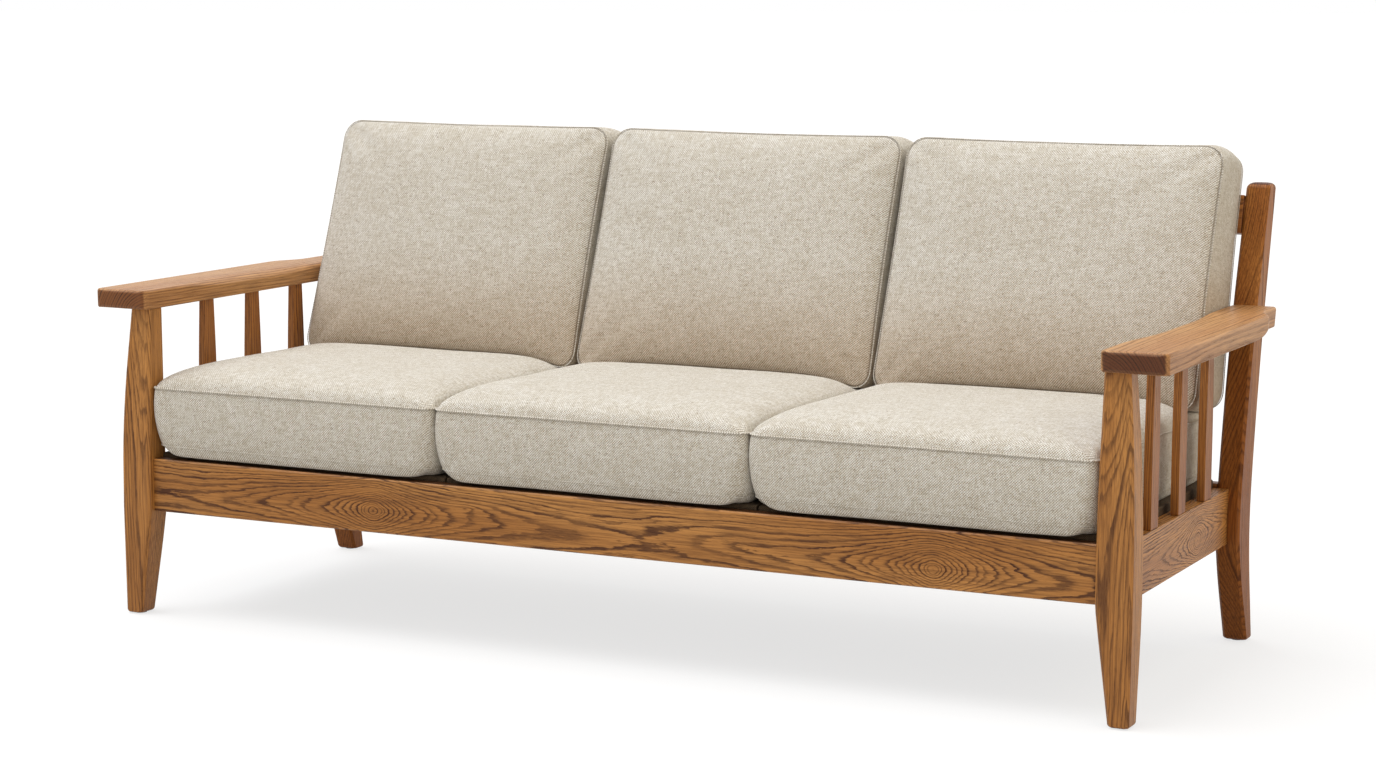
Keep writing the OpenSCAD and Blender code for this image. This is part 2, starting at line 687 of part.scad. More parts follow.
// Share of the crown at the scale s of a ring. The smaller k, the rounder the shoulders.
function full(s, k) = pow(1 - pow(s, 6), k);
module cushion_form(frame, hw, near, far, low_crown, high_crown, k, swell, pull, limit) {
    half = [hw, norm(frame[1] - frame[0]) / 2];
    outline = rounded(hw, half[1], near, far);
    rings = concat([for (s = [0.4, 0.72, 0.87, 0.9, 0.93, 0.975])
            [0, s, low_crown * full(s, k), 0]],
        [for (b = [0, 0.2, 0.8, 1]) [b, 1, 0, 4 * b * (1 - b)]],
        [for (s = [0.985, 0.95, 0.9, 0.82, 0.66, 0.38]) [1, s, high_crown * full(s, k), 0]]);
    skin([for (r = rings) [for (p = cushion_ring(frame, outline, half, r[0], r[1], r[2],
        r[3] * swell, pull)) limit(p)]]);
}

// The back cushions stand on the seat cushions along a plane that dips towards their sides
DROOP = 17;
DROOP_REACH = 120;
function droop(x, hw) = DROOP * max(0, abs(x) / hw - 0.6) / 0.4;

// Seat cushion: bellied underneath, level where the board carries it, rolled over the front edge
// of the board, crowned on top, and pressed level under the back cushion on its rear part
SEAT_ROLL = 35;
SEAT_SWELL = [1.5, 5];
module seat_cushion(bay) {
    frame = [[seat_front_y, seat_low_z], [seat_rear_y, seat_low_z],
        [seat_front_y, seat_high_z], [seat_rear_y, seat_high_z - 10]];
    hw = (cushion_pitch - lie_gap) / 2 - SEAT_SWELL[0] * 0.7;
    color(CLOTH) translate([bay * cushion_pitch, 0, 0])
        cushion_form(frame, hw, 20, 30, seat_belly + 12, seat_crown, 0.45, SEAT_SWELL, 3,
            function(p) let (top = under_back_z(p[1]) - droop(p[0] - back_shift, back_w / 2),
                    rest = p[1] < front_y + SEAT_ROLL ? rail_top + 2 : board_top + lie_gap)
                [p[0], p[1], max(rest, min(p[2], top - 3 * lie_gap))]);
}

// Back cushion: its rear panel lies on the back slats and its lower end on the seat cushion
BACK_SWELL = [1.5, 6];
module back_cushion(bay) {
    frame = [[back_low_y + back_low_t, back_z - SEAT_DROP],
        [back_top_y + back_top_t, back_top_z - SEAT_DROP],
        [back_low_y, back_z], [back_top_y, back_top_z]];
    hw = back_w / 2 - BACK_SWELL[0] * 0.7;
    color(CLOTH) translate([bay * cushion_pitch + back_shift, 0, 0])
        cushion_form(frame, hw, 20, 34, 0, back_crown, 1, BACK_SWELL, 3,
            function(p) let (d = droop(p[0], back_w / 2),
                    m = d * max(0, min(1, 1 - (p[2] - under_back_z(p[1])) / DROOP_REACH)),
                    y = p[1] - m * tan(back_lean))
                [p[0], y, max(under_back_z(y) - d, p[2] - m)]);
}

front_leg("left");  // front_leg_left
front_leg("right");  // front_leg_right
rear_leg("left");  // rear_leg_left
rear_leg("right");  // rear_leg_right
front_rail();
rear_rail();
side_rail("left");  // side_rail_left
side_rail("right");  // side_rail_right
top_back_rail();
arm("left");  // arm_left
arm("right");  // arm_right
for (i = [1 : 3]) {
    arm_slat("left", i);
    arm_slat("right", i);
}
for (i = [1 : 11]) {
    back_slat(i);
}
cross_bearer("left");  // cross_bearer_left
cross_bearer("right");  // cross_bearer_right
batten(false);  // front_batten
batten(true);  // rear_batten
seat_board(-1);  // seat_board_left
seat_board(0);  // seat_board_middle
seat_board(1);  // seat_board_right
corner_block_front("left");  // corner_block_front_left
corner_block_front("right");  // corner_block_front_right
corner_block_rear("left");  // corner_block_rear_left
corner_block_rear("right");  // corner_block_rear_right
batten_screws();
block_screws();
foot_glides();
seat_cushion(-1);  // seat_cushion_left
seat_cushion(0);  // seat_cushion_middle
seat_cushion(1);  // seat_cushion_right
back_cushion(-1);  // back_cushion_left
back_cushion(0);  // back_cushion_middle
back_cushion(1);  // back_cushion_right
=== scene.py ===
import math
import bmesh
import bpy
from mathutils import Matrix, Vector, noise


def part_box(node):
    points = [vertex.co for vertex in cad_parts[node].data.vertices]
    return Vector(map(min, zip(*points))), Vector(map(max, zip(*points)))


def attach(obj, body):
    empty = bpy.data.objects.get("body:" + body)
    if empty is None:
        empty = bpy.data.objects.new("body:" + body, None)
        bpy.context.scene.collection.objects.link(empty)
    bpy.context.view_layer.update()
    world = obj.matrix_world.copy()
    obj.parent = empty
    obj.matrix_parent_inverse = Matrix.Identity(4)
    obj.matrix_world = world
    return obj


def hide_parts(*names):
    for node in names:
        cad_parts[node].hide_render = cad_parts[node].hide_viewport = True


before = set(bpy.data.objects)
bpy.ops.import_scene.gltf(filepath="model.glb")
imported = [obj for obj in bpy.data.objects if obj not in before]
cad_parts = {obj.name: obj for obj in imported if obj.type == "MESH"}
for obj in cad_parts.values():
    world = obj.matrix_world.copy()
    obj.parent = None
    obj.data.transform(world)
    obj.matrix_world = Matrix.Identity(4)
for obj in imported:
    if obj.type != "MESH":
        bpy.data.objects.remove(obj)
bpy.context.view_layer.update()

scene = bpy.context.scene
scene.view_settings.view_transform = "Standard"
MM = 0.001

# Sizes of the sofa in metres, as its drawing gives them
SEAT_WIDTH = 1.690
PITCH = SEAT_WIDTH / 3
FRONT_Y = -0.382
LEAN = math.radians(13.9034)
BOARD_TOP = 0.2800
RAIL_TOP = 0.2725
LIE_GAP = 0.0004
SIDES = {"left": -1, "right": 1}
PLACES = {"left": -1, "middle": 0, "right": 1}


# Camera at the place the photograph was taken from

def place_camera():
    data = bpy.data.cameras.new("camera")
    data.lens = 79.3
    data.sensor_width = 36
    camera = bpy.data.objects.new("camera", data)
    camera.location = (2.2355, -4.5575, 1.1226)
    turn = Matrix.Rotation(math.radians(26.2), 3, "Z")
    tilt = Matrix.Rotation(math.radians(82.011), 3, "X")
    camera.rotation_euler = (turn @ tilt @ Matrix.Rotation(math.radians(0.16), 3, "Z")).to_euler()
    scene.collection.objects.link(camera)
    scene.camera = camera


# Short ways to add shader nodes

def feed(tree, made, values):
    """Links each value that is a socket to its input, and sets the others"""
    for key, value in values.items():
        if isinstance(value, bpy.types.NodeSocket):
            tree.links.new(value, made.inputs[key])
        else:
            made.inputs[key].default_value = value


def add(tree, kind, values=None, **settings):
    made = tree.nodes.new(kind)
    for key, value in settings.items():
        setattr(made, key, value)
    feed(tree, made, values or {})
    return made


def maths(tree, operation, *values, clamp=False):
    made = add(tree, "ShaderNodeMath", dict(enumerate(values)), operation=operation)
    made.use_clamp = clamp
    return made.outputs[0]


def turned(tree, vector, scale=(1, 1, 1), location=(0, 0, 0), rotation=(0, 0, 0)):
    return add(tree, "ShaderNodeMapping", {"Vector": vector, "Scale": scale,
               "Location": location, "Rotation": rotation}).outputs[0]


def split(tree, vector):
    return add(tree, "ShaderNodeSeparateXYZ", {0: vector}).outputs


def joined(tree, x, y, z):
    return add(tree, "ShaderNodeCombineXYZ", {0: x, 1: y, 2: z}).outputs[0]


def cloudy(tree, vector, scale, detail=2.0, rough=0.5):
    return add(tree, "ShaderNodeTexNoise", {"Vector": vector, "Scale": scale, "Detail": detail,
               "Roughness": rough})


def between(tree, value, low, high, to_low=0.0, to_high=1.0, soft=True):
    return add(tree, "ShaderNodeMapRange", {"Value": value, "From Min": low, "From Max": high,
               "To Min": to_low, "To Max": to_high},
               interpolation_type="SMOOTHSTEP" if soft else "LINEAR").outputs[0]


def mixed(tree, share, a, b, blend="MIX"):
    return add(tree, "ShaderNodeMix", {0: share, 6: a, 7: b}, data_type="RGBA",
               blend_type=blend).outputs[2]


def group(name, inputs, outputs):
    """Node group with named sockets; returns it with its input sockets and a way to close it"""
    tree = bpy.data.node_groups.new(name, "ShaderNodeTree")
    kinds = {"f": "NodeSocketFloat", "v": "NodeSocketVector", "c": "NodeSocketColor"}
    for label, kind in inputs.items():
        tree.interface.new_socket(label, in_out="INPUT", socket_type=kinds[kind])
    for label, kind in outputs.items():
        tree.interface.new_socket(label, in_out="OUTPUT", socket_type=kinds[kind])
    start = tree.nodes.new("NodeGroupInput").outputs

    def close(**results):
        end = tree.nodes.new("NodeGroupOutput")
        for label, socket in results.items():
            tree.links.new(socket, end.inputs[label.replace("_", " ")])
    return tree, start, close


def placed(tree, used, values):
    return add(tree, "ShaderNodeGroup", values, node_tree=used).outputs


def finish_material(name):
    material = bpy.data.materials.new(name)
    material.use_nodes = True
    tree = material.node_tree
    tree.nodes.clear()
    shader = tree.nodes.new("ShaderNodeBsdfPrincipled")
    output = tree.nodes.new("ShaderNodeOutputMaterial")
    tree.links.new(shader.outputs[0], output.inputs[0])
    return material, tree, shader


def colour(r, g, b):
    """Colour written as in a paint program, 0 to 255, made linear"""
    return tuple((c / 255 / 12.92) if c < 10.3 else ((c / 255 + 0.055) / 1.055) ** 2.4
                 for c in (r, g, b)) + (1.0,)


# Oak: rings round a pith that lies beside the board, pores and fibres along the grain

def make_knot_group():
    tree, given, close = group("knot", {"Place": "v", "Along": "f", "Across": "f",
                               "Reach along": "f", "Reach across": "f", "Rise": "f"},
                               {"Swell": "f"})
    place = split(tree, given["Place"])
    a = maths(tree, "DIVIDE", maths(tree, "SUBTRACT", place[0], given["Along"]),
              given["Reach along"])
    b = maths(tree, "DIVIDE", maths(tree, "SUBTRACT", place[1], given["Across"]),
              given["Reach across"])
    square = maths(tree, "ADD", maths(tree, "MULTIPLY", a, a), maths(tree, "MULTIPLY", b, b))
    far = maths(tree, "SQRT", maths(tree, "ADD", square, 0.01))
    fall = maths(tree, "EXPONENT", maths(tree, "MULTIPLY", far, -1.0))
    a, b = maths(tree, "MULTIPLY", a, 0.22), maths(tree, "MULTIPLY", b, 0.9)
    square = maths(tree, "ADD", maths(tree, "MULTIPLY", a, a), maths(tree, "MULTIPLY", b, b))
    far = maths(tree, "SQRT", maths(tree, "ADD", square, 0.01))
    tail = maths(tree, "EXPONENT", maths(tree, "MULTIPLY", far, -1.0))
    fall = maths(tree, "ADD", fall, maths(tree, "MULTIPLY", tail, 1.3))
    close(Swell=maths(tree, "MULTIPLY", maths(tree, "MULTIPLY", fall, given["Rise"]), -1.0))
    return tree


def make_grain_group():
    tree, given, close = group(
        "oak grain",
        {"Place": "v", "Facing": "v", "Pith across": "f", "Pith depth": "f", "Taper": "f",
         "Ring": "f", "Wander": "f", "Ripple": "f", "Boldness": "f", "Swell": "f",
         "Light wood": "c", "Warm wood": "c", "Dark line": "c", "End wood": "c"},
        {"Colour": "c", "Roughness": "f", "Height": "f"})
    place = given["Place"]
    x, y, z = split(tree, place)
    slow = split(tree, cloudy(tree, turned(tree, place, (1.7, 6, 6)), 1.0).outputs["Color"])
    swing = [maths(tree, "MULTIPLY", maths(tree, "SUBTRACT", slow[k], 0.5), given["Wander"])
             for k in (0, 1)]
    across = maths(tree, "ADD", maths(tree, "SUBTRACT", y, given["Pith across"]), swing[0])
    depth = maths(tree, "ADD", maths(tree, "SUBTRACT", z, given["Pith depth"]), swing[1])
    depth = maths(tree, "ADD", depth, maths(tree, "MULTIPLY", x, given["Taper"]))
    square = maths(tree, "ADD", maths(tree, "MULTIPLY", across, across),
                   maths(tree, "MULTIPLY", depth, depth))
    reach = maths(tree, "ADD", maths(tree, "SQRT", square), given["Swell"])
    soft = (4 * MM) ** 2
    crest = maths(tree, "SQRT", maths(tree, "ADD", maths(tree, "MULTIPLY", across, across), soft))
    reach = maths(tree, "ADD", reach, maths(tree, "MULTIPLY", crest, 0.14))
    ripple = cloudy(tree, turned(tree, place, (11, 70, 70)), 1.0, 2.0, 0.55).outputs[0]
    reach = maths(tree, "ADD", reach,
                  maths(tree, "MULTIPLY", maths(tree, "SUBTRACT", ripple, 0.5), given["Ripple"]))
    jagged = cloudy(tree, turned(tree, place, (36, 260, 260), (0.4, 0.8, 0.1)), 1.0, 3.0,
                    0.60).outputs[0]
    reach = maths(tree, "ADD", reach,
                  maths(tree, "MULTIPLY", maths(tree, "SUBTRACT", jagged, 0.5),
                        maths(tree, "MULTIPLY", given["Ripple"], 0.6)))
    rings = maths(tree, "DIVIDE", reach, given["Ring"])
    uneven = add(tree, "ShaderNodeTexNoise", {"W": rings, "Scale": 0.33, "Detail": 1.0},
                 noise_dimensions="1D").outputs[0]
    rings = maths(tree, "ADD", rings, maths(tree, "MULTIPLY", uneven, 1.6))
    line = add(tree, "ShaderNodeValToRGB", {0: maths(tree, "FRACT", rings)})
    stops = ((0.0, 0.78), (0.04, 1.0), (0.20, 0.96), (0.32, 0.45), (0.48, 0.10), (0.90, 0.04),
             (0.96, 0.25), (1.0, 0.78))
    while len(line.color_ramp.elements) < len(stops):
        line.color_ramp.elements.new(0.5)
    for element, (where, grey) in zip(line.color_ramp.elements, stops):
        element.position = where
        element.color = (grey, grey, grey, 1)
    season = add(tree, "ShaderNodeTexWhiteNoise", {"W": maths(tree, "FLOOR", rings)},
                 noise_dimensions="1D").outputs[0]
    fresh = cloudy(tree, turned(tree, place, (7, 34, 34), (3.1, 1.7, 0.4)), 1.0, 2.0).outputs[0]
    line = maths(tree, "MULTIPLY", line.outputs[0],
                 between(tree, season, 0.0, 1.0, 0.50, 1.0, soft=False))
    line = maths(tree, "MULTIPLY", line, between(tree, fresh, 0.25, 0.65, 0.60, 1.0))
    streak = cloudy(tree, turned(tree, place, (11, 420, 420)), 1.0, 3.0, 0.65).outputs[0]
    pores = cloudy(tree, turned(tree, place, (60, 1500, 1500), (0.7, 0.2, 0.9)), 1.0,
                   1.0).outputs[0]
    bound = between(tree, line, 0.0, 1.0, 0.68, 0.46, soft=False)
    pore = maths(tree, "MULTIPLY", maths(tree, "SUBTRACT", pores, bound), 9.0, clamp=True)
    tone = cloudy(tree, turned(tree, place, (1.9, 11, 11), (5.3, 0.6, 2.2)), 1.0, 2.0).outputs[0]

    body = mixed(tree, between(tree, tone, 0.32, 0.68), given["Light wood"], given["Warm wood"])
    body = mixed(tree, between(tree, streak, 0.36, 0.70, 0.0, 0.50), body, given["Dark line"])
    body = mixed(tree, maths(tree, "MULTIPLY", line, given["Boldness"]), body,
                 given["Dark line"])
    body = mixed(tree, maths(tree, "MULTIPLY", maths(tree, "MULTIPLY", pore, 0.60),
                 given["Boldness"]), body, given["Dark line"])
    facing = split(tree, given["Facing"])
    end = between(tree, maths(tree, "ABSOLUTE", facing[0]), 0.72, 0.94)
    endwood = mixed(tree, maths(tree, "MULTIPLY", line, 0.95), given["End wood"],
                    colour(24, 8, 2))
    body = mixed(tree, maths(tree, "MULTIPLY", end, 0.88), body, endwood)

    height = maths(tree, "ADD", maths(tree, "MULTIPLY", line, -0.35),
                   maths(tree, "MULTIPLY", pore, -0.65))
    height = maths(tree, "ADD", height, maths(tree, "MULTIPLY", streak, 0.30))
    gloss = maths(tree, "ADD", 0.40, maths(tree, "MULTIPLY", pore, 0.25))
    gloss = maths(tree, "ADD", gloss, maths(tree, "MULTIPLY", line, 0.06))
    close(Colour=body, Roughness=gloss, Height=height)
    return tree


# How the grain's own axes (along, across, into the board) lie on the sofa
GRAIN = {
    "rail": Matrix(((1, 0, 0), (0, 0, 1), (0, -1, 0))),
    "leg": Matrix(((0, 0, 1), (1, 0, 0), (0, 1, 0))),
    "slat": Matrix(((0, 0, 1), (0, -1, 0), (1, 0, 0))),
    "side": Matrix(((0, 1, 0), (0, 0, 1), (1, 0, 0))),
    "arm": Matrix(((0, 1, 0), (-1, 0, 0), (0, 0, 1))),
}
# Light wood, warm wood, dark line and end wood of each tone
TONES = {
    "oak": (colour(202, 142, 76), colour(178, 118, 56), colour(70, 34, 12), colour(84, 44, 26)),
    "arm": (colour(200, 150, 96), colour(184, 130, 78), colour(92, 52, 24), colour(80, 32, 10)),
    "pale arm": (colour(200, 150, 96), colour(184, 130, 78), colour(92, 52, 24),
                 colour(122, 69, 31)),
    # A darker copy of the oak: painted shade for the pieces that stand in shade, the rear legs,
    # the back rails and slats and the arm slats under the arms
    "post": (colour(184, 120, 58), colour(158, 94, 40), colour(64, 30, 10), colour(84, 44, 26)),
    # Painted shadow: the dark oak on the top of the front rail, under the overhanging seat cushion
    "shaded": (colour(104, 64, 34), colour(86, 50, 24), colour(46, 24, 10), colour(60, 34, 18)),
    "inner": (colour(206, 168, 118), colour(190, 148, 98), colour(140, 98, 58),
              colour(150, 112, 74)),
}


def oak(name, lie, centre, pith=(0.0, -0.05), taper=0.0, ring=0.003, wander=0.03, tone="oak",
        knots=(), bold=0.9, ripple=0.005, shine=1.38):
    """Wood of one board. The pith is the centre of the rings, across and in depth, and the taper
    its slope along the board. A ring is as wide as ring, and strays by wander and ripple. Each
    knot has its place along and across, its reach both ways and how far it lifts the rings"""
    material, tree, shader = finish_material(name)
    turn = GRAIN[lie]
    angles = turn.to_euler()
    coords = tree.nodes.new("ShaderNodeTexCoord").outputs
    place = turned(tree, coords["Object"], location=-(turn @ Vector(centre)), rotation=angles)
    facing = turned(tree, coords["Normal"], rotation=angles)
    swell = 0.0
    for along, across, reach_a, reach_b, rise in knots:
        one = placed(tree, KNOT, {"Place": place, "Along": along, "Across": across,
                     "Reach along": reach_a, "Reach across": reach_b, "Rise": rise})[0]
        swell = one if swell == 0.0 else maths(tree, "ADD", swell, one)
    light, warm, dark, end = TONES[tone]
    made = placed(tree, GRAIN_GROUP, {
        "Place": place, "Facing": facing, "Pith across": pith[0], "Pith depth": pith[1],
        "Taper": taper, "Ring": ring, "Wander": wander, "Ripple": ripple, "Boldness": bold,
        "Swell": swell, "Light wood": light, "Warm wood": warm, "Dark line": dark,
        "End wood": end})
    bump = add(tree, "ShaderNodeBump", {"Height": made["Height"], "Strength": 0.6,
               "Distance": 0.4 * MM})
    feed(tree, shader, {"Base Color": made["Colour"], "Roughness": made["Roughness"],
         "Normal": bump.outputs[0], "IOR": shine})
    return material


# Cloth: two-tone threads in a small diagonal check, with slubs and dark flecks

def make_weave_group():
    tree, given, close = group(
        "woven cloth",
        {"Place": "v", "Facing": "v", "Thread": "f", "Pale thread": "c", "Warm thread": "c",
         "Dark thread": "c"},
        {"Colour": "c", "Height": "f"})
    x, y, z = split(tree, given["Place"])
    nx, ny, nz = [maths(tree, "ABSOLUTE", part) for part in split(tree, given["Facing"])]
    level = maths(tree, "GREATER_THAN", nz, maths(tree, "MAXIMUM", nx, ny))
    end_on = maths(tree, "MULTIPLY", maths(tree, "GREATER_THAN", nx, ny),
                   maths(tree, "SUBTRACT", 1.0, level))
    u = maths(tree, "ADD", x, maths(tree, "MULTIPLY", end_on, maths(tree, "SUBTRACT", y, x)))
    v = maths(tree, "ADD", z, maths(tree, "MULTIPLY", level, maths(tree, "SUBTRACT", y, z)))
    turns = [maths(tree, "DIVIDE", maths(tree, "MULTIPLY", axis, 2 * math.pi), given["Thread"])
             for axis in (u, v)]
    rising = maths(tree, "COSINE", maths(tree, "SUBTRACT", turns[0], turns[1]))
    falling = maths(tree, "COSINE", maths(tree, "ADD", turns[0], turns[1]))
    check = maths(tree, "SUBTRACT", maths(tree, "MULTIPLY", rising, 0.6),
                  maths(tree, "MULTIPLY", falling, 0.4))
    warp_up = between(tree, check, -0.30, 0.30)

    fine = [maths(tree, "DIVIDE", axis, given["Thread"]) for axis in (u, v)]
    long = [maths(tree, "MULTIPLY", axis, 60.0) for axis in (u, v)]
    warp = cloudy(tree, joined(tree, fine[0], long[1], 3.7), 1.3, 2.0, 0.6).outputs[0]
    weft = cloudy(tree, joined(tree, long[0], fine[1], 8.1), 1.3, 2.0, 0.6).outputs[0]
    thread = maths(tree, "ADD", weft, maths(tree, "MULTIPLY", warp_up,
                   maths(tree, "SUBTRACT", warp, weft)))
    patch = cloudy(tree, given["Place"], 24.0, 3.0).outputs[0]
    tone = maths(tree, "ADD", thread, maths(tree, "MULTIPLY", maths(tree, "SUBTRACT", patch, 0.5),
                 0.20))
    body = mixed(tree, between(tree, tone, 0.32, 0.68), given["Warm thread"],
                 given["Pale thread"])
    shade = between(tree, weft, 0.36, 0.64, 0.71, 0.57)
    body = mixed(tree, maths(tree, "MULTIPLY", maths(tree, "SUBTRACT", 1.0, warp_up), shade), body,
                 given["Dark thread"])
    slub = cloudy(tree, joined(tree, maths(tree, "MULTIPLY", u, 230.0),
                  maths(tree, "MULTIPLY", v, 430.0), 1.3), 1.0, 2.0, 0.7).outputs[0]
    body = mixed(tree, between(tree, slub, 0.60, 0.69, 0.0, 0.62), body, given["Dark thread"])
    body = mixed(tree, between(tree, slub, 0.38, 0.30, 0.0, 0.35), body, given["Pale thread"])
    height = maths(tree, "ADD", maths(tree, "ABSOLUTE", check),
                   maths(tree, "MULTIPLY", slub, 0.5))
    close(Colour=body, Height=height)
    return tree


THREADS = {"Pale thread": colour(242, 240, 234), "Warm thread": colour(216, 209, 194),
           "Dark thread": colour(122, 104, 80)}


def cloth(name, lean=0.0, seams=None, lower=None, thread=4.2 * MM):
    """Cover of a cushion. Its seams have a dark line of painted shade in the crease at the first
    distance, as strong as the second number says. Its foot is a little darker with painted shade,
    and that fades out between the two heights in lower"""
    material, tree, shader = finish_material(name)
    coords = tree.nodes.new("ShaderNodeTexCoord").outputs
    place = turned(tree, coords["Object"], rotation=(lean, 0, 0))
    facing = turned(tree, coords["Normal"], rotation=(lean, 0, 0))
    made = placed(tree, WEAVE, {"Place": place, "Facing": facing, "Thread": thread, **THREADS})
    body, height = made["Colour"], made["Height"]
    if seams:
        # Painted shade: a dark line in the crease beside each seam, where the welt shades the
        # cover
        near = add(tree, "ShaderNodeAttribute", attribute_name="seam").outputs["Fac"]
        off = maths(tree, "ABSOLUTE", maths(tree, "SUBTRACT", near, seams[0]))
        crease_shade = between(tree, off, 0.2 * MM, 0.8 * MM, seams[1], 0.0)
        body = mixed(tree, crease_shade, body, colour(84, 66, 46))
    if lower:
        # Painted shade: the cover grows darker towards its foot, where it meets the seat
        foot_shade = between(tree, split(tree, place)[2], lower[0], lower[1], 1.0, 0.0)
        body = mixed(tree, foot_shade, body, colour(236, 224, 212), "MULTIPLY")
    bump = add(tree, "ShaderNodeBump", {"Height": height, "Strength": 0.55,
               "Distance": 0.7 * MM})
    feed(tree, shader, {"Base Color": body, "Normal": bump.outputs[0], "Roughness": 0.92,
         "Specular IOR Level": 0.25, "Sheen Weight": 0.15, "Sheen Roughness": 0.45})
    return material


# Cover of the seat boards, steel of the screws, nylon of the glides

def board_cover():
    material, tree, shader = finish_material("seat board cloth")
    coords = tree.nodes.new("ShaderNodeTexCoord").outputs
    made = placed(tree, WEAVE, {"Place": coords["Object"], "Facing": coords["Normal"],
                  "Thread": 3.2 * MM, "Pale thread": colour(104, 86, 62),
                  "Warm thread": colour(84, 66, 48), "Dark thread": colour(48, 36, 26)})
    bump = add(tree, "ShaderNodeBump", {"Height": made["Height"], "Strength": 0.6,
               "Distance": 0.6 * MM})
    feed(tree, shader, {"Base Color": made["Colour"], "Normal": bump.outputs[0],
         "Roughness": 0.9})
    return material


def zinc():
    material, tree, shader = finish_material("zinc plate")
    coords = tree.nodes.new("ShaderNodeTexCoord").outputs
    spangle = cloudy(tree, coords["Object"], 700.0, 3.0).outputs[0]
    feed(tree, shader, {
        "Base Color": mixed(tree, spangle, colour(150, 150, 146), colour(205, 204, 198)),
        "Roughness": between(tree, spangle, 0.3, 0.7, 0.28, 0.5), "Metallic": 1.0})
    return material


def nylon():
    material, tree, shader = finish_material("glide nylon")
    coords = tree.nodes.new("ShaderNodeTexCoord").outputs
    scuff = cloudy(tree, coords["Object"], 260.0, 4.0).outputs[0]
    feed(tree, shader, {
        "Base Color": mixed(tree, scuff, colour(40, 36, 32), colour(66, 60, 54)),
        "Roughness": between(tree, scuff, 0.3, 0.7, 0.45, 0.7)})
    return material


# Wooden pieces: merged copies of the drawing's solids with softened edges

# An edge between faces that turn by more than the first angle is softened, and one that turns by
# less than the second is shaded smooth
SOFTENED_ABOVE = math.radians(26)
SMOOTH_BELOW = math.radians(38)
# How far behind an arm's front end it gets new rings of points. The rounding ends at the last
FRONT_RINGS = (2.4 * MM, 6.5 * MM, 9.5 * MM, 14 * MM)
# The step that the drawing itself gives an arm's front end
FRONT_STEP = 4 * MM


def as_object(name, form, material):
    """Turns a form into an object of the scene, and frees the form"""
    data = bpy.data.meshes.new(name)
    form.to_mesh(data)
    form.free()
    data.materials.append(material)
    piece = bpy.data.objects.new(name, data)
    scene.collection.objects.link(piece)
    return piece


def keep(piece, body, *nodes, slot=None):
    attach(piece, body)
    if nodes:
        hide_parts(*nodes)
    return piece


def eased(node, material, ease, slot="oak", steps=3, shape=None):
    """Copy of a node's solid with its edges softened by ease. A shape, if one is given, moves its
    points first"""
    mesh = bmesh.new()
    mesh.from_mesh(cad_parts[node].data)
    bmesh.ops.remove_doubles(mesh, verts=mesh.verts, dist=2e-6)
    if shape:
        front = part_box(node)[0].y
        for back in FRONT_RINGS:
            bmesh.ops.bisect_plane(mesh, geom=mesh.verts[:] + mesh.edges[:] + mesh.faces[:],
                                   dist=1e-6, plane_co=(0, front + back, 0),
                                   plane_no=(0, 1, 0))
        for vert in mesh.verts:
            vert.co = shape(vert.co)
    bmesh.ops.dissolve_limit(mesh, angle_limit=math.radians(0.4), verts=mesh.verts,
                             edges=mesh.edges)
    sharp = [e for e in mesh.edges if e.is_manifold and e.calc_face_angle(0) > SOFTENED_ABOVE]
    bmesh.ops.bevel(mesh, geom=sharp, affect="EDGES", offset=ease, segments=steps, profile=0.5,
                    material=-1, clamp_overlap=True)
    for face in mesh.faces:
        face.smooth = True
    for edge in mesh.edges:
        edge.smooth = not edge.is_manifold or edge.calc_face_angle(0) < SMOOTH_BELOW
    piece = as_object(node + "_eased", mesh, material)
    soften = piece.modifiers.new("even shading", "WEIGHTED_NORMAL")
    soften.keep_sharp = True
    return keep(piece, "frame", node, slot=slot)


def middle(node):
    low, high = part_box(node)
    return (low + high) / 2


def rounded_front(node, radius):
    """Way to round the front end of an arm: its two corners seen from above, and the four
    corners of its section, which are sharp again before the leg begins"""
    low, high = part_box(node)
    centre = (low + high) / 2
    half = ((high.x - low.x) / 2, (high.z - low.z) / 2)

    def moved(p):
        d = max(0.0, p.y - low.y)
        left = radius - min(radius, d)
        taken = FRONT_STEP * max(0.0, 1 - d / FRONT_STEP) ** 2
        inset = max(0.0, radius - math.sqrt(radius * radius - left * left) - taken)
        x, z = (p.x - centre.x) * (1 - inset / half[0]), p.z - centre.z
        corner = 0.8 * radius * max(0.0, 1 - d / FRONT_RINGS[-1])
        over = (abs(x) - half[0] + inset + taken + corner, abs(z) - half[1] + taken + corner)
        reach = math.hypot(*over)
        if min(over) > 0 and reach > corner:
            back = 1 - corner / reach
            x -= math.copysign(over[0] * back, x)
            z -= math.copysign(over[1] * back, z)
        return Vector((centre.x + x, p.y, centre.z + z))
    return moved


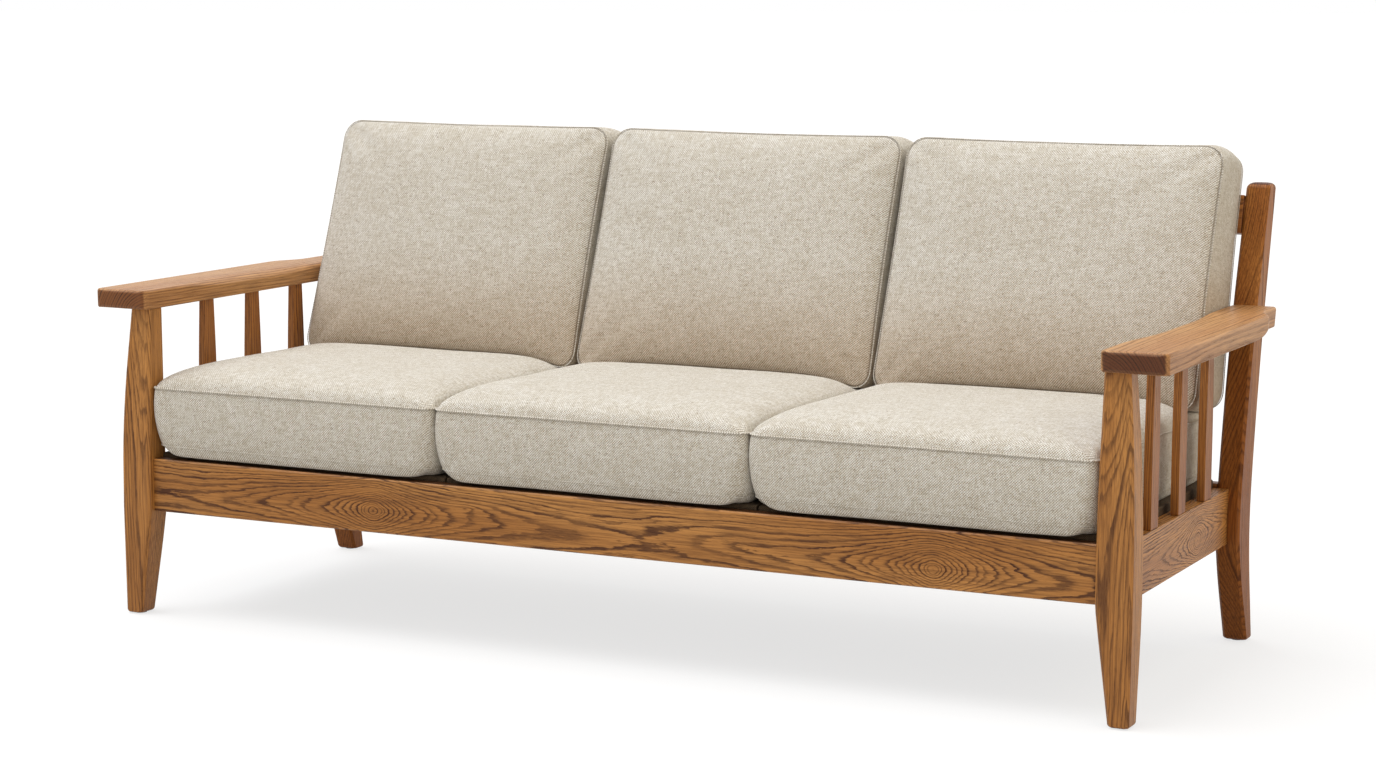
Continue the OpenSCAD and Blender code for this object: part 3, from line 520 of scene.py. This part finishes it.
def make_frame():
    rail = eased("front_rail", oak("oak front rail", "rail", middle("front_rail"),
                 (-0.012, -0.060), 0.012, 0.0044, 0.034, knots=(
                 (-0.405, -0.009, 0.038, 0.050, 0.030), (0.587, -0.017, 0.042, 0.056, 0.033),
                 (-0.229, 0.010, 0.020, 0.009, 0.005)), bold=1.0, ripple=0.006), 1.6 * MM)
    rail.data.materials.append(oak("oak rail top painted shadow", "rail", middle("front_rail"), (-0.006, -0.035),
                               tone="shaded"))
    # The faces of the front rail that look up get that painted shadow
    for face in rail.data.polygons:
        face.material_index = int(face.normal.z > 0.8)
    # The rear legs, the back rails and slats and the arm slats take the darker oak of painted
    # shade
    eased("rear_rail", oak("oak rear rail", "rail", middle("rear_rail"), (0.02, -0.05), 0.02,
           0.0036, 0.05, "post"), 1.6 * MM)
    eased("top_back_rail", oak("oak top back rail", "rail", middle("top_back_rail"),
           (-0.02, -0.05), 0.02, 0.0032, 0.05, "post"), 1.6 * MM)
    for side, sign in SIDES.items():
        node = "front_leg_" + side
        eased(node, oak("oak " + node, "leg", middle(node), (-0.016 * sign, 0.050), 0.022, 0.0032,
               0.030, bold=0.84, ripple=0.0024), 2.2 * MM)
        node = "rear_leg_" + side
        eased(node, oak("oak " + node, "leg", middle(node), (-0.06 * sign, 0.05), 0.03, 0.0038,
               0.025, "post", bold=0.70, ripple=0.0025, shine=1.24), 2.0 * MM)
        node = "side_rail_" + side
        eased(node, oak("oak " + node, "side", middle(node), (-0.006, -0.03 * sign), 0.02,
               0.0036, 0.034, knots=((0.107, -0.012, 0.036, 0.046, 0.026),), bold=1.0), 1.5 * MM)
        node = "arm_" + side
        eased(node, oak("oak " + node, "arm", middle(node), (0.055 * sign, -0.055), 0.01, 0.0052,
               0.022, "arm" if sign > 0 else "pale arm", bold=0.58, ripple=0.002), 4.2 * MM,
              shape=rounded_front(node, 11 * MM))
        for k in (1, 2, 3):
            node = f"arm_slat_{side}_{k}"
            eased(node, oak("oak " + node, "slat", middle(node), (0.05 - 0.01 * k, -0.035),
                   0.03 * (k - 2), 0.0036, 0.025, "post", bold=0.78, ripple=0.0022), 1.8 * MM)
    for k in range(1, 12):
        node = f"back_slat_{k}"
        eased(node, oak("oak " + node, "leg", middle(node), (0.012 * (k % 4) - 0.02, 0.05),
               0.02 * (k % 3 - 1), 0.0034, 0.03, "post"), 1.2 * MM)
    inner = {"cross_bearer_left": "arm", "cross_bearer_right": "arm", "front_batten": "rail",
             "rear_batten": "rail", "corner_block_front_left": "rail",
             "corner_block_front_right": "rail", "corner_block_rear_left": "rail",
             "corner_block_rear_right": "rail"}
    for node, lie in inner.items():
        eased(node, oak("beech " + node, lie, middle(node), (0.02, -0.06), 0.01, 0.005, 0.03,
               "inner"), 1.0 * MM, slot="inner_wood", steps=2)


def make_support():
    for place in PLACES:
        eased("seat_board_" + place, BOARD_CLOTH, 3 * MM, slot="board_cloth")
    for node, material in (("batten_screws", ZINC), ("block_screws", ZINC),
                           ("foot_glides", NYLON)):
        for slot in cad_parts[node].material_slots:
            slot.material = material


# Cushion forms: two panels joined by a border, seen from the side as four seam corners

def full(u, v, fullness):
    """Share of the crown over the point u, v of a panel. The smaller the last two numbers,
    the rounder the shoulders at its ends and at its front and back"""
    across = max(0.0, 1 - abs(u) ** fullness[0]) ** fullness[2]
    return across * max(0.0, 1 - abs(v) ** fullness[1]) ** fullness[3]


def crowded(u):
    """Moves points of a panel towards its seams, where the cover turns most"""
    return 0.35 * u + 0.65 * math.sin(math.pi / 2 * u)


def outline(u, v, half, near, far):
    """Point of the rounded seam line in the direction u, v of a square's edge"""
    radius = far if v > 0 else near
    p = Vector((u * half[0], v * half[1]))
    core = Vector((half[0] - radius, half[1] - radius))
    if abs(p.x) <= core.x or abs(p.y) <= core.y:
        return p
    over = min(abs(p.x) - core.x, abs(p.y) - core.y) / radius
    angle = math.radians(45) * over
    arc = (math.cos(angle), math.sin(angle))
    if abs(p.x) - core.x < abs(p.y) - core.y:
        arc = arc[::-1]
    return Vector((math.copysign(core.x + radius * arc[0], p.x),
                   math.copysign(core.y + radius * arc[1], p.y)))


class Cushion:
    """The seams are given as y, z: near and far corner of the first panel, then of the second.
    The radii near and far round them seen from the panel's front. Each panel has its crown and
    its fullness, the border swells to the sides and to its ends, and the limit is a function
    that keeps a point off the cushion's neighbours"""

    def __init__(self, seam, half_width, near, far, crowns, fullness, swell, limit):
        self.seam = [Vector(p) for p in seam]
        self.half = (half_width, (self.seam[1] - self.seam[0]).length / 2)
        self.near, self.far = near, far
        self.crowns, self.fullness, self.swell, self.limit = crowns, fullness, swell, limit

    def point(self, u, v, w):
        """Place of a point of the unit cube on the cushion"""
        s = max(abs(u), abs(v)) if abs(w) == 1 else 1.0
        edge = max(abs(u), abs(v)) or 1.0
        b = (w + 1) / 2
        near = self.near[1] + (self.near[0] - self.near[1]) * (1 - b) ** 2
        rim = outline(u / edge, v / edge, self.half, near, self.far)
        a, c = rim.x / self.half[0], rim.y / self.half[1]
        bulge = 4 * b * (1 - b)
        rise = self.crowns[b > 0.5] * full(u, v, self.fullness[b > 0.5]) if abs(w) == 1 else 0.0
        pull = 3 * MM
        x = s * a * (self.half[0] - pull * (1 - c * c) + self.swell[0] * bulge)
        t = 0.5 + 0.5 * s * c * (1 + (self.swell[1] * bulge - pull * (1 - a * a)) / self.half[1])
        low = self.seam[0].lerp(self.seam[1], t)
        high = self.seam[2].lerp(self.seam[3], t)
        span = (self.seam[1] - self.seam[0]) if b < 0.5 else (self.seam[3] - self.seam[2])
        out = Vector((span.y, -span.x)) if b < 0.5 else Vector((-span.y, span.x))
        q = low.lerp(high, b) + out.normalized() * rise
        return Vector((x, q.x, q.y))

    def mesh(self, cuts):
        """Closed quad mesh; each point keeps its distance from the nearer seam"""
        form = bmesh.new()
        bmesh.ops.create_cube(form, size=2)
        for axis in (0, 1, 2):
            along = [e for e in form.edges
                     if abs((e.verts[0].co - e.verts[1].co)[axis]) > 1.9]
            bmesh.ops.subdivide_edges(form, edges=along, cuts=cuts[axis] - 1,
                                      use_grid_fill=True)
        seam = form.verts.layers.float.new("seam")
        height = (self.seam[2] - self.seam[0]).length
        for vert in form.verts:
            u, v, w = vert.co
            u, v = crowded(u), crowded(v)
            if abs(w) > 0.999:
                gap = (1 - max(abs(u), abs(v))) * self.half[1]
                w = math.copysign(1, w)
            else:
                gap = (abs(w) - 1) * height / 2
            vert[seam] = gap
            vert.co = self.point(u, v, w)
        for face in form.faces:
            face.smooth = True
        bmesh.ops.recalc_face_normals(form, faces=form.faces)
        return form


# Front and rear lower corner of a back cushion as y, z, half its width and its shift to the right
FRONT_FOOT = (0.0927, 0.422)
REAR_FOOT = (0.2507, 0.404)
BACK_HALF = 0.27495
BACK_SHIFT = 6 * MM
# How far the ends of a back cushion hang down, and from what share of its half width
DROOP = 17 * MM
DROOP_FROM = 0.6
# The seat cushions are pressed level behind this line
PRESSED_FROM = 0.085
# How high they lie over the front rail, and where they roll over the front edge of the boards
OVER_RAIL = RAIL_TOP + 2 * MM
ROLL_START = FRONT_Y + 8 * MM
ROLL_LENGTH = 33 * MM
# They have slipped a little to the sitter's right: where each one begins and ends
SEAT_ENDS = {"left": (-0.8476, -0.2898), "middle": (-0.2894, 0.2748), "right": (0.2752, 0.8420)}
# The outer end of the right one swells between the arm slats, most at this height
SLAT_ROWS = [middle(f"arm_slat_right_{k}").y for k in (1, 2, 3)]
BULGE_FROM = 0.24
BULGE_HEIGHT = 0.345


def under_back(y):
    """Height of the underside of a back cushion"""
    fall = (REAR_FOOT[1] - FRONT_FOOT[1]) / (REAR_FOOT[0] - FRONT_FOOT[0])
    return FRONT_FOOT[1] + (y - FRONT_FOOT[0]) * fall


def droop(x):
    return DROOP * max(0.0, abs(x) / BACK_HALF - DROOP_FROM) / (1 - DROOP_FROM)


def seat_limit(p):
    """Keeps a point of a seat cushion above its board and below the back cushion"""
    top = under_back(p.y) - droop(p.x - BACK_SHIFT) - 3 * LIE_GAP
    if p.y < PRESSED_FROM:
        top = math.inf
    roll = max(0.0, min(1.0, (p.y - ROLL_START) / ROLL_LENGTH))
    roll *= roll * (3 - 2 * roll)
    rest = OVER_RAIL + (BOARD_TOP + LIE_GAP - OVER_RAIL) * roll
    return Vector((p.x, p.y, max(rest, min(p.z, top))))


def seat_slip(p, place):
    """Moves a point of a seat cushion so that its sides stand where its neighbours let them"""
    low, high = SEAT_ENDS[place]
    half = PITCH / 2 - LIE_GAP / 2
    x = (low + high) / 2 + max(-half, min(half, p.x)) * (high - low) / (2 * half)
    if place == "right" and p.x > BULGE_FROM:
        pressed = sum(math.exp(-((p.y - y) / 0.016) ** 2) for y in SLAT_ROWS)
        level = max(0.0, 1 - abs(p.z - BULGE_HEIGHT) / 0.055)
        x -= 0.012 * pressed * level * (p.x - BULGE_FROM) / (half - BULGE_FROM)
    return Vector((x, p.y, p.z))


def back_limit(p):
    """Keeps a point of a back cushion above the seat cushion and in front of the slats"""
    d = droop(p.x)
    dip = d * max(0.0, min(1.0, 1 - (p.z - under_back(p.y)) / 0.120))
    y = p.y - dip * math.tan(LEAN)
    wall = REAR_FOOT[0] + (max(p.z, 0.30) - REAR_FOOT[1]) * math.tan(LEAN)
    spread = 1 + 0.0088 * max(0.0, min(1.0, (0.80 - p.z) / 0.36))
    return Vector((p.x * spread, min(y, wall), max(under_back(y) - d, p.z - dip)))


SEAT = Cushion([(-0.372, 0.2964), (0.209, 0.2964), (-0.372, 0.3954), (0.209, 0.3854)],
               0.2800, (0.044, 0.020), 0.034, (0.036, 0.040),
               ((8, 12, 0.5, 0.5), (8, 6, 0.40, 0.46)), (0.003, 0.004), seat_limit)
BACK = Cushion([REAR_FOOT, (0.3502, 0.806), FRONT_FOOT, (0.2412, 0.824)],
               0.2768, (0.030, 0.030), 0.034, (0.0, 0.036),
               ((6, 6, 1, 1), (4, 4, 0.6, 0.6)), (0.0015, 0.006), back_limit)

# A point nearer to a seam than this is on it
ON_SEAM = 1e-6
# How much smaller the cover is before it is filled, the most that filling moves a point, how
# firmly the seams hold their place, and the frames that the filling takes
SMALLER = 1.5 * MM
MOST_MOVE = 5 * MM
SEAM_HOLD = 0.9
FILL_FRAMES = 20
# Share of its own radius by which the middle of a welt stands out of the cover
WELT_LIFT = 0.4
# Seed of the noise that makes the covers a little uneven. Without one it starts from the clock
UNEVEN_SEED = 5


def puff(form, share):
    """Fills the cover like a filled bag: it starts a little small and swells under pressure.
    The cover takes on the given share of that change"""
    form.normal_update()
    data = bpy.data.meshes.new("cover")
    form.to_mesh(data)
    start = [v.co.copy() for v in form.verts]
    seam = form.verts.layers.float["seam"]
    for vert, made in zip(form.verts, data.vertices):
        made.co = vert.co - vert.normal * SMALLER
    cover = bpy.data.objects.new("cover", data)
    scene.collection.objects.link(cover)
    pins = cover.vertex_groups.new(name="sewn")
    for vert in form.verts:
        pins.add([vert.index], SEAM_HOLD if abs(vert[seam]) < ON_SEAM else 0.0, "REPLACE")
    filling = cover.modifiers.new("filling", "CLOTH")
    settings = filling.settings
    settings.quality = 6
    settings.mass = 0.4
    settings.tension_stiffness = 25
    settings.compression_stiffness = 20
    settings.shear_stiffness = 8
    settings.bending_stiffness = 0.6
    settings.use_pressure = True
    settings.uniform_pressure_force = 4
    settings.effector_weights.gravity = 0
    settings.vertex_group_mass = "sewn"
    settings.pin_stiffness = 1.0
    filling.point_cache.frame_start = 1
    filling.point_cache.frame_end = FILL_FRAMES
    for step in range(1, FILL_FRAMES + 1):
        scene.frame_set(step)
    swollen = cover.evaluated_get(bpy.context.evaluated_depsgraph_get()).to_mesh()
    ends = [v.co.copy() for v in swollen.vertices]
    scene.frame_set(1)
    bpy.data.objects.remove(cover)
    for vert, a, b in zip(form.verts, start, ends):
        move = (b - a) * share
        if move.length > MOST_MOVE:
            move *= MOST_MOVE / move.length
        vert.co = a + move


def welt(name, points, radius, material, body):
    """Sewn ridge that follows a seam"""
    curve = bpy.data.curves.new(name, "CURVE")
    curve.dimensions = "3D"
    curve.bevel_depth = radius
    curve.bevel_resolution = 2
    spline = curve.splines.new("POLY")
    spline.points.add(len(points) - 1)
    for made, p in zip(spline.points, points):
        made.co = (*p, 1)
    spline.use_cyclic_u = True
    line = bpy.data.objects.new(name, curve)
    scene.collection.objects.link(line)
    data = bpy.data.meshes.new_from_object(line)
    bpy.data.objects.remove(line)
    data.materials.clear()
    data.materials.append(material)
    for face in data.polygons:
        face.use_smooth = True
    piece = bpy.data.objects.new(name, data)
    scene.collection.objects.link(piece)
    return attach(piece, body)


def seam_loops(form):
    """The closed seams of a form, each as its points one after the other"""
    seam = form.verts.layers.float["seam"]
    left = dict.fromkeys(v for v in form.verts if abs(v[seam]) < ON_SEAM)
    loops = []
    while left:
        loop = []
        here = next(iter(left))
        while here is not None:
            left.pop(here)
            loop.append(here)
            here = next((e.other_vert(here) for e in here.link_edges
                         if e.other_vert(here) in left), None)
        loops.append(loop)
    return loops


def make_cushions():
    noise.seed_set(UNEVEN_SEED)
    # The covers carry painted shade: a dark line in their seam creases, and on the backs a darker
    # foot
    # Form, faces along each axis, share of the filling, cover, and radii of the welts
    kinds = {
        "seat": (SEAT, (52, 52, 10), 0.12, cloth("seat cloth", 0.0, (-3.6 * MM, 0.08)),
                 (0.8 * MM, 1.6 * MM)),
        "back": (BACK, (50, 40, 14), 0.25,
                 cloth("back cloth", LEAN, (1.4 * MM, 0.50), (0.43, 0.66)),
                 (0.8 * MM, 0.9 * MM)),
    }
    for kind, (cushion, cuts, share, material, rolls) in kinds.items():
        base = cushion.mesh(cuts)
        plain = cloth(kind + " welt", LEAN if kind == "back" else 0.0)
        puff(base, share)
        for place, k in PLACES.items():
            node = f"{kind}_cushion_{place}"
            form = base.copy()
            offset = Vector((k * PITCH + BACK_SHIFT, 0, 0))
            seam = form.verts.layers.float["seam"]
            for vert in form.verts:
                p = vert.co
                wobble = noise.noise_vector(p * 7 + Vector((11.3 * k, 0, 4.7 * k))) * 1.6 * MM
                if abs(vert[seam]) > 4 * MM:
                    p = p + wobble
                p = cushion.limit(p)
                vert.co = seat_slip(p, place) if kind == "seat" else p + offset
            form.normal_update()
            loops = seam_loops(form)
            highest = max(loops, key=lambda loop: sum(v.co.z - v.co.y for v in loop))
            for n, loop in enumerate(loops):
                roll = rolls[loop is highest]
                points = [v.co + v.normal * (roll * WELT_LIFT) for v in loop]
                welt(f"{node}_welt_{n + 1}", points, roll, plain, node)
            piece = as_object(node + "_cover", form, material)
            smooth = piece.modifiers.new("smooth", "SUBSURF")
            smooth.levels = smooth.render_levels = 1
            keep(piece, node, node, slot="upholstery")
        base.free()


# Floor and light

def make_floor():
    """Floor that looks nearly white to the camera, but still takes the sofa's shadow"""
    material, tree, shader = finish_material("pale floor")
    tree.nodes.remove(shader)
    output = next(n for n in tree.nodes if n.type == "OUTPUT_MATERIAL")
    path = tree.nodes.new("ShaderNodeLightPath").outputs
    plain = add(tree, "ShaderNodeBsdfDiffuse", {"Color": mixed(tree, path["Is Camera Ray"],
                (0.58, 0.565, 0.535, 1), (0.95, 0.95, 0.95, 1))})
    glow = add(tree, "ShaderNodeEmission", {"Color": (1, 1, 1, 1), "Strength": 1.0})
    seen = maths(tree, "MAXIMUM", path["Is Camera Ray"], path["Is Glossy Ray"])
    seen = maths(tree, "MAXIMUM", seen, path["Is Transmission Ray"])
    share = maths(tree, "MULTIPLY", seen, 0.72)
    both = add(tree, "ShaderNodeMixShader", {0: share, 1: plain.outputs[0], 2: glow.outputs[0]})
    tree.links.new(both.outputs[0], output.inputs[0])
    form = bmesh.new()
    bmesh.ops.create_circle(form, cap_ends=True, radius=60, segments=96)
    as_object("floor", form, material)


def make_light():
    """A bright dome, warmer and stronger from the right, and one soft lamp from above. Mirrors
    see it darker in front, and the camera sees plain white"""
    world = bpy.data.worlds.new("studio")
    scene.world = world
    world.use_nodes = True
    tree = world.node_tree
    tree.nodes.clear()
    output = tree.nodes.new("ShaderNodeOutputWorld")
    way = split(tree, tree.nodes.new("ShaderNodeTexCoord").outputs["Generated"])
    dome = maths(tree, "MULTIPLY", between(tree, way[2], 0.0, 0.9, 0.44, 0.75),
                 between(tree, way[0], 0.1, 0.9, 1.0, 1.42))
    mirror = maths(tree, "MULTIPLY", between(tree, way[1], -0.9, 0.2, 0.40, 1.0),
                   between(tree, way[0], 0.1, 0.5, 1.0, 1.8))
    path = tree.nodes.new("ShaderNodeLightPath").outputs
    glossy = maths(tree, "MAXIMUM", path["Is Glossy Ray"], path["Is Transmission Ray"])
    power = maths(tree, "ADD", dome, maths(tree, "MULTIPLY", glossy,
                  maths(tree, "SUBTRACT", mirror, dome)))
    power = maths(tree, "ADD", power, maths(tree, "MULTIPLY", path["Is Camera Ray"],
                  maths(tree, "SUBTRACT", 1.0, power)))
    tint = mixed(tree, between(tree, way[2], -0.1, 0.8), (1.03, 1.0, 0.95, 1),
                 (0.95, 0.985, 1.05, 1))
    tint = mixed(tree, between(tree, way[0], 0.0, 0.6), tint, (1.12, 1.0, 0.80, 1))
    tint = mixed(tree, path["Is Camera Ray"], tint, (1, 1, 1, 1))
    light = add(tree, "ShaderNodeBackground", {"Color": tint, "Strength": power})
    tree.links.new(light.outputs[0], output.inputs[0])

    lamp = bpy.data.lights.new("key", "SUN")
    lamp.energy = 2.25
    lamp.angle = math.radians(50)
    key = bpy.data.objects.new("key", lamp)
    key.rotation_euler = (math.radians(9), math.radians(-20), 0)
    scene.collection.objects.link(key)


place_camera()
KNOT = make_knot_group()
GRAIN_GROUP = make_grain_group()
WEAVE = make_weave_group()
BOARD_CLOTH, ZINC, NYLON = board_cover(), zinc(), nylon()
make_floor()
make_light()
make_frame()
make_support()
make_cushions()
